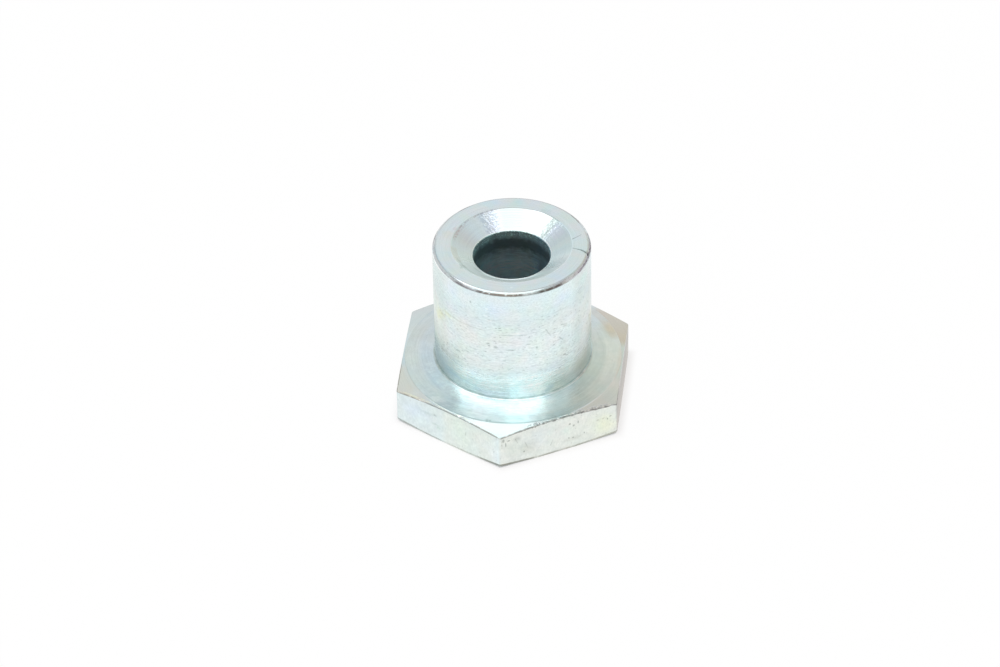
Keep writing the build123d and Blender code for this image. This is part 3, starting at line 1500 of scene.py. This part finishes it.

# The barrel: pits and scratches in its middle, straw, pink and blue stains, painted glints, painted
# shade down its sides, a painted reflection of the flange face low down, and a darker foot
BARREL_WALL = ZincPlate(
    "barrel_wall", (0.835, 0.945, 0.962), mottle=0.025, mottle_mm=1.9,
    grooves=Grooves(Lay.HEIGHT, depth=2.4, streak_tint=0.05),
    pits=(
        Pits(0.7, 0.28, share=0.5, size=0.36, depth=2.5, shade=0.62,
             within=(Band(Measure.HEIGHT, 13.6, 3.6, 3.5), Broken(2.2, 0.6, 0.2, seed=7.0))),
        Pits(0.4, 0.34, share=0.3, size=0.34, depth=2.0, shade=0.6, seed=6.0,
             within=(Band(Measure.HEIGHT, 13.6, 3.6, 3.5), Broken(1.6, 0.5, 0.2, seed=8.0))),
        # Lighter specks with no relief: painted glints
        Pits(0.8, 0.3, share=0.28, size=0.36, depth=0.0, shade=1.12, seed=2.0,
             within=(Band(Measure.HEIGHT, 13.5, 4.0, 4.0),)),
        Pits(2.4, 0.26, share=0.25, size=0.36, depth=1.5, shade=0.84, seed=4.0,
             within=(Band(Measure.HEIGHT, 14.5, 4.5, 3.0),)),
    ),
    marks=(
        stripe((1.065, 1.03, 1.01), 13.8, 2.3, 2.0),
        # Painted reflection of the flange face's highlight, low on the front
        stripe((1.03, 1.105, 1.115), 7.6, 1.0, 1.8, Sector(278, 18, 20)),
        stripe((0.87, 0.83, 0.84), 6.3, 0.4, 0.8, Sector(260, 8, 8)),
        # Painted reflection of the flange face, low on the barrel
        stripe((1.0, 1.05, 1.1), 8.2, 0.8, 0.8, Sector(228, 14, 8)),
        stripe((1.05, 1.045, 1.05), 12.4, 2.4, 1.6, Sector(304, 16, 12)),
        # Painted reflection of the flange face's highlight, low on the barrel
        stripe((1.12, 1.06, 1.06), 7.5, 0.4, 0.5, Sector(290, 6, 6)),
        stripe((1.0, 1.0, 1.0), 14.5, 4.0, 2.5, roughness=0.16),
        # Painted shade down both sides of the barrel
        side((0.89, 0.88, 0.87), 344, 6, 16),
        side((0.9, 0.9, 0.87), 202, 6, 18),
        Mark((0.87, 0.88, 0.88), (Broken(0.24, 0.5, 0.3, stretch=(1.3, 1.3, 1.0), seed=21.0),)),
        # Painted reflection of the flange face, low on the barrel
        stripe((1.12, 1.13, 1.14), 8.7, 0.4, 0.9,
               AnyOf((Sector(222, 14, 14), Sector(322, 32, 12)))),
        stripe((0.89, 0.9, 0.9), 13.2, 3.6, 3.5,
               Broken(0.14, 0.4, 0.2, stretch=(4.0, 3.0, 1.0), seed=22.0), Sector(272, 50, 15)),
        stripe((0.78, 0.79, 0.79), 13.0, 3.4, 2.5,
               Broken(0.16, 0.08, 0.07, stretch=(8.0, 7.0, 1.0), seed=25.0), Sector(270, 54, 12)),
        stripe((1.07, 1.06, 1.05), 13.2, 5.0, 3.0,
               Broken(0.16, 0.3, 0.12, stretch=(2.5, 2.0, 1.0), seed=24.0)),
        stain_and_light_patch((1.02, 0.99, 0.8), on_barrel(207, 14.5), 1.6, 1.1),
        stain_and_light_patch((1.03, 0.99, 0.8), on_barrel(213, 15.3), 1.6, 0.9),
        stain_and_light_patch((1.03, 1.0, 0.88), on_barrel(221, 16.1), 1.6, 0.6),
        stain_and_light_patch((1.02, 0.98, 0.83), on_barrel(356, 12.9), 1.8, 1.4),
        stain_and_light_patch((1.04, 0.98, 0.985), on_barrel(243, 15.8), 2.8, 2.4),
        stain_and_light_patch((1.02, 0.975, 1.0), on_barrel(222, 17.6), 2.0, 1.2),
        stain_and_light_patch((1.04, 0.985, 0.985), on_barrel(274, 15.0), 3.0, 1.8),
        stain_and_light_patch((0.97, 0.985, 1.06), on_barrel(228, 20.5), 1.4, 1.8),
        stain_and_light_patch((0.98, 0.99, 1.06), on_barrel(264, 20.0), 2.6, 2.4),
        stain_and_light_patch((0.97, 0.975, 1.05), on_barrel(316, 20.0), 2.0, 1.8),
        stain_and_light_patch((0.95, 1.02, 0.98), on_barrel(340, 20.5), 1.8, 1.2),
        stain_and_light_patch((0.99, 1.02, 0.97), on_barrel(272, 16.8), 2.4, 0.8),
        # Painted reflection of the flange face's highlight, low on the front
        stain_and_light_patch((1.09, 1.07, 1.06), on_barrel(276, 9.2), 2.8, 1.1),
        stain_and_light_patch((1.04, 1.04, 1.04), on_barrel(205, 14.2), 2.0, 2.0),
        stain_and_light_patch((0.955, 0.955, 0.96), on_barrel(300, 10.0), 2.2, 1.2),
        # Lighter and darker patches low on the barrel, and the stripe after them: painted
        # reflection of the flange face
        stain_and_light_patch((0.74, 0.81, 0.86), on_barrel(301, 6.55), 1.0, 0.5),
        stain_and_light_patch((1.0, 1.02, 1.08), on_barrel(234, 7.7), 1.6, 1.2),
        stain_and_light_patch((1.14, 1.1, 1.07), on_barrel(276, 8.3), 0.9, 0.5),
        stain_and_light_patch((1.0, 1.04, 1.08), on_barrel(290, 7.8), 1.2, 0.8),
        stain_and_light_patch((0.88, 0.94, 0.93), on_barrel(262, 6.5), 0.8, 0.35),
        stain_and_light_patch((0.89, 0.91, 0.98), on_barrel(304, 7.0), 0.8, 0.7),
        stripe((1.06, 1.11, 1.145), 7.6, 0.7, 0.7, Sector(257, 10, 6)),
        stripe((0.9, 0.94, 0.935), 13.3, 1.2, 1.2, Sector(325, 7, 8)),
        nicks_and_glints((0.74, 0.76, 0.75), 2.0, on_barrel,
              (272, 15.95, 1.3, 0.1), (283, 15.9, 0.9, 0.1), (275, 13.7, 0.8, 0.16),
              (264, 14.0, 0.35, 0.3), (294, 13.7, 0.22, 0.26), (293, 8.95, 0.45, 0.12),
              (233, 11.6, 0.5, 0.14), (239, 10.8, 0.3, 0.16), (245, 20.1, 0.16, 0.3),
              (281, 12.8, 0.4, 0.1), (270, 12.0, 0.3, 0.14), (288, 14.4, 0.5, 0.1)),
        scratches((0.72, 0.74, 0.73), 1.5,
                  Stroke(on_barrel(301.0, 16.1), on_barrel(304.8, 14.9), 0.12),
                  Stroke(on_barrel(314.0, 15.95), on_barrel(319.5, 15.6), 0.14),
                  Stroke(on_barrel(312.5, 14.1), on_barrel(315.5, 13.5), 0.13),
                  Stroke(on_barrel(273.0, 10.6), on_barrel(276.0, 10.9), 0.1)),
        # Lighter dashes with no relief: painted glints
        nicks_and_glints((1.13, 1.08, 1.07), 0.0, on_barrel,
              (257, 18.6, 0.4, 0.16), (260, 18.0, 0.5, 0.2), (258, 19.7, 0.3, 0.14),
              (280, 16.2, 0.8, 0.16), (252, 13.9, 0.6, 0.12), (291, 9.3, 0.5, 0.12),
              (257, 9.5, 0.7, 0.12), (298, 12.9, 0.4, 0.12)),
        stripe((0.86, 0.86, 0.84), 16.32, 0.04, 0.06, Sector(236, 16, 8), wander_mm=0.08),
        stripe((0.66, 0.71, 0.7), 6.12, 0.1, 0.14, Broken(0.8, 0.8, 0.2, seed=1.0), wander_mm=0.08,
               roughness=0.1),
    ))

# The barrel's rim: painted light, shade and a painted dark reflection along its chamfer, a worn
# dull patch at the right front, and the knock
BARREL_RIM = ZincPlate(
    "barrel_rim", mottle=0.03,
    marks=(
        Mark((0.86, 0.8, 0.81), (Sector(180, 60, 15), Broken(0.6, 0.7, 0.15, seed=6.0))),
        Mark((0.88, 0.83, 0.84), (Sector(80, 50, 15), Broken(0.6, 0.7, 0.15, seed=5.0))),
        stripe((0.45, 0.42, 0.42), 22.12, 0.04, 0.06,
               AnyOf((Sector(40, 25, 8), Sector(128, 6, 3), Sector(160, 15, 6))),
               Broken(0.7, 0.6, 0.12, seed=7.0), wander_mm=0.08),
        # Painted shade on the rim's right side
        side((0.74, 0.71, 0.72), 10, 7, 5),
        # Painted shade over the upper half of the chamfer, which narrows its bright line, and over
        # the whole front of the rim
        stripe((0.72, 0.72, 0.72), 22.3, 0.09, 0.05, Sector(-88, 45, 10), wander_mm=0.03),
        side((0.86, 0.86, 0.85), -90, 42, 14),
        Mark((0.75, 0.74, 0.73), (Sector(-90, 42, 14), Broken(0.45, 0.5, 0.25, seed=2.0))),
        # From here to the next side tint: painted dark reflection of the room in front, along the
        # lower edge of the chamfer
        stripe(RIM_DARK_REFLECTION, 22.03, 0.08, 0.05, AnyOf((Sector(-93, 12, 8), Sector(-54, 6, 6))),
               Broken(0.5, 0.96, 0.15, seed=3.0), wander_mm=0.03, roughness=0.3),
        stripe((0.52, 0.48, 0.48), 22.04, 0.07, 0.06,
               AnyOf((Sector(-117, 8, 6), Sector(-70, 7, 6))), wander_mm=0.04),
        stripe((0.82, 0.78, 0.79), 22.05, 0.03, 0.06, Sector(-158, 30, 10),
               Broken(0.7, 0.8, 0.12, seed=3.5), wander_mm=0.06, roughness=0.2),
        # Painted light on the rim's left front and right front
        side((1.5, 1.5, 1.5), -148, 12, 14),
        side((1.08, 1.04, 1.05), -33, 8, 8),
        Mark((0.86, 0.78, 0.82), (Sector(-24, 28, 10), Broken(0.45, 0.8, 0.15, seed=9.0)),
             depth=2.0, roughness=0.3, dullness=0.2),
        stripe((0.55, 0.46, 0.5), 22.05, 0.05, 0.06, Sector(-10, 16, 10),
               Broken(0.5, 0.7, 0.1, seed=4.0), wander_mm=0.12, roughness=0.2),
        Mark((0.36, 0.35, 0.35), (Spot(around(-5.0, 9.45, 22.15), 0.5, 0.35, 0.3),), depth=1.0,
             roughness=0.2),
    ))

# The ring on top, with the scratches that run in from the rim's nick
END_FACE = ZincPlate(
    "end_face", mottle=0.035, mottle_mm=1.6, grooves=Grooves(Lay.RADIUS),
    marks=(
        ring((0.86, 0.82, 0.83), 9.25, 0.08, 0.08, Sector(97, 58, 12), wander_mm=0.04),
        ring((0.62, 0.6, 0.6), 9.25, 0.08, 0.08, AnyOf((Sector(39, 4, 3), Sector(135, 3, 3))),
             wander_mm=0.05),
        stain_and_light_patch((1.05, 1.0, 0.985), on_end(186, 8.3), 1.8, 1.8),
        ring((0.9, 0.84, 0.85), 9.27, 0.06, 0.14, Broken(0.8, 0.7, 0.2, seed=2.0), wander_mm=0.06),
        stain_and_light_patch((0.965, 0.99, 1.04), on_end(-45, 8.3), 2.6, 2.6),
        stain_and_light_patch((0.95, 0.99, 1.05), on_end(112, 8.4), 1.5, 1.5),
        stain_and_light_patch((0.92, 1.0, 1.0), on_end(92, 8.4), 1.1, 1.1),
        stain_and_light_patch((0.97, 1.02, 0.98), on_end(66, 8.3), 1.2, 1.2),
        stain_and_light_patch((0.98, 1.01, 0.96), on_end(-137, 8.2), 1.6, 1.6),
        stain_and_light_patch((1.0, 1.0, 0.94), on_end(46, 8.4), 1.6, 1.6),
        stain_and_light_patch((1.0, 0.975, 0.9), on_end(170, 8.1), 1.3, 0.7),
        stain_and_light_patch((0.96, 0.87, 0.86), on_end(161, 7.5), 0.5, 0.4),
        stain_and_light_patch((0.8, 0.85, 0.81), on_end(-138, 7.4), 0.35, 0.35),
        Mark((0.82, 0.87, 0.85),
             (Spot(on_end(63, 7.4), 1.1, 0.5, 0.1), Broken(0.3, 0.6, 0.2, seed=3.0))),
        # A painted glint
        nicks_and_glints((1.12, 1.08, 1.07), 0.0, on_end, (-84, 8.3, 0.25, 0.25)),
        Mark((0.25, 0.27, 0.27), (Stroke(on_end(-6, 9.5), on_end(-2, 8.5), 0.16),), depth=3.0,
             roughness=0.2),
        Mark((0.4, 0.42, 0.42), (Stroke(on_end(-2, 8.6), on_end(0, 7.3), 0.1),), depth=2.0,
             roughness=0.1),
        Mark((0.62, 0.64, 0.63), (Stroke(on_end(13, 7.3), on_end(18, 8.6), 0.09),), depth=1.0),
    ))

# The countersink, with streaks where the cutter chattered, and painted light, shade and reflection
# round the cone
COUNTERSINK = ZincPlate(
    "countersink", mottle=0.02, grooves=Grooves(Lay.RADIUS, depth=1.2),
    marks=(
        # Tints by the way each part of the cone faces: painted reflection, with some of the plate's
        # own hue
        side((1.07, 1.0, 1.0), 90, 30, 12),
        side((1.07, 1.05, 1.09), 122, 10, 8),
        side((1.03, 1.03, 0.99), -172, 12, 12),
        side((1.02, 1.06, 1.14), 163, 12, 16),
        side((1.09, 1.08, 1.09), -140, 12, 12),
        side((1.14, 1.09, 1.09), -24, 8, 14),
        side((1.12, 1.13, 1.15), 30, 12, 14),
        side((1.06, 1.1, 1.11), 4, 8, 10),
        # A duller, rougher front with painted shade; the three rings after it are painted light
        Mark((0.82, 0.83, 0.82), (Sector(-92, 42, 34),), roughness=0.25, dullness=0.75),
        ring((1.6, 1.6, 1.6), 5.0, 0.2, 0.7, Sector(-86, 26, 20)),
        ring((1.55, 1.55, 1.55), 4.9, 0.2, 0.4, Sector(-83, 10, 8)),
        ring((1.08, 1.08, 1.08), 6.9, 0.3, 0.3, Sector(-105, 12, 10)),
        ring((0.82, 0.86, 0.84), 6.85, 0.06, 0.14, Sector(-137, 12, 8), wander_mm=0.1),
        ring((0.975, 0.93, 0.89), 7.05, 0.3, 0.3, Sector(-160, 9, 6)),
        ring((0.83, 0.84, 0.83), 7.05, 0.3, 0.3, Sector(-140, 1.5, 2.5)),
        ring((1.08, 1.06, 1.04), 7.15, 0.15, 0.15, Sector(-118, 5, 4)),
        ring((0.84, 0.88, 0.86), 5.4, 0.1, 0.16, Sector(-122, 14, 10), wander_mm=0.1),
        ring((0.82, 0.85, 0.84), 6.0, 0.06, 0.14, Sector(-90, 8, 6), wander_mm=0.1),
        ring((0.8, 0.74, 0.75), 7.22, 0.05, 0.05, Sector(135, 20, 8),
             Broken(0.4, 0.5, 0.1, seed=4.0), wander_mm=0.06),
        ring((0.86, 0.72, 0.71), 7.1, 0.1, 0.14, Sector(163, 9, 6),
             Broken(0.3, 0.5, 0.15, seed=5.0), wander_mm=0.08),
        Mark((0.8, 0.83, 0.89), (Sector(122, 7, 6), Broken(0.4, 0.6, 0.12, seed=1.0)), depth=1.2),
        # Painted shade
        side((0.76, 0.77, 0.73), 53, 5, 7),
        Mark((0.92, 0.94, 0.96), (Sector(46, 6, 8), Broken(0.4, 0.6, 0.15, seed=2.0)), depth=0.9),
        ring((1.0, 0.96, 1.02), 6.3, 0.5, 0.4, Sector(36, 5, 6)),
        # Painted highlight along the burr round the mouth
        ring((1.15, 1.1, 1.08), 4.78, 0.04, 0.05, wander_mm=0.02, roughness=0.2),
    ))

# The bore: thin, dull plate, painted darker partly for the shade deep in the hole, with painted
# light, shadow and glints on its walls
BORE_WALL = ZincPlate(
    "bore_wall", colour=(0.448, 0.508, 0.52), roughness=0.42, mottle=0.04, mottle_mm=1.2,
    grooves=Grooves(Lay.HEIGHT, width_mm=0.15, length_mm=8.0, depth=1.0, streak_mm=0.3,
                    streak_tint=0.2),
    marks=(
        # Painted light on the sides of the bore
        side((1.03, 1.14, 1.28), 20, 30, 20),
        side((1.12, 1.3, 1.29), 165, 25, 20),
        stripe((0.88, 1.0, 0.99), 20.3, 0.4, 0.5, Broken(0.5, 0.7, 0.2, seed=1.0), wander_mm=0.5,
               depth=1.0, roughness=0.1),
        # A painted shadow band below the mouth, then painted light on the far wall below it
        stripe((0.52, 0.56, 0.57), 18.9, 0.3, 0.9, wander_mm=0.6),
        stripe((1.81, 1.86, 1.89), 14.2, 1.6, 2.4, Sector(104, 38, 20), wander_mm=0.5),
        stripe((1.3, 1.3, 1.3), 16.4, 1.4, 0.8, Sector(95, 35, 15),
               Broken(0.15, 0.35, 0.12, stretch=(8.0, 8.0, 1.0), seed=2.0)),
        # Painted glints near the mouth
        stripe((1.9, 2.0, 1.95), 20.4, 0.35, 0.2, Broken(0.16, 0.3, 0.06, seed=6.0),
               wander_mm=0.1),
    ))

FINISHES = {
    Zone.UNDERSIDE: UNDERSIDE, Zone.FLAT: FLATS, Zone.CORNER: CORNERS, Zone.FACE: FLANGE_FACE,
    Zone.BARREL: BARREL_WALL, Zone.RIM: BARREL_RIM, Zone.END: END_FACE,
    Zone.COUNTERSINK: COUNTERSINK, Zone.BORE: BORE_WALL,
}


def main() -> None:
    """Builds the bushing and the studio."""
    logging.basicConfig(level=logging.INFO, format="%(name)s: %(message)s")
    body = SHAPE.build(DENTS, FINISHES)
    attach(body, "root")
    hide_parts(NODE)
    Studio().build()


if __name__ == "__main__":
    main()
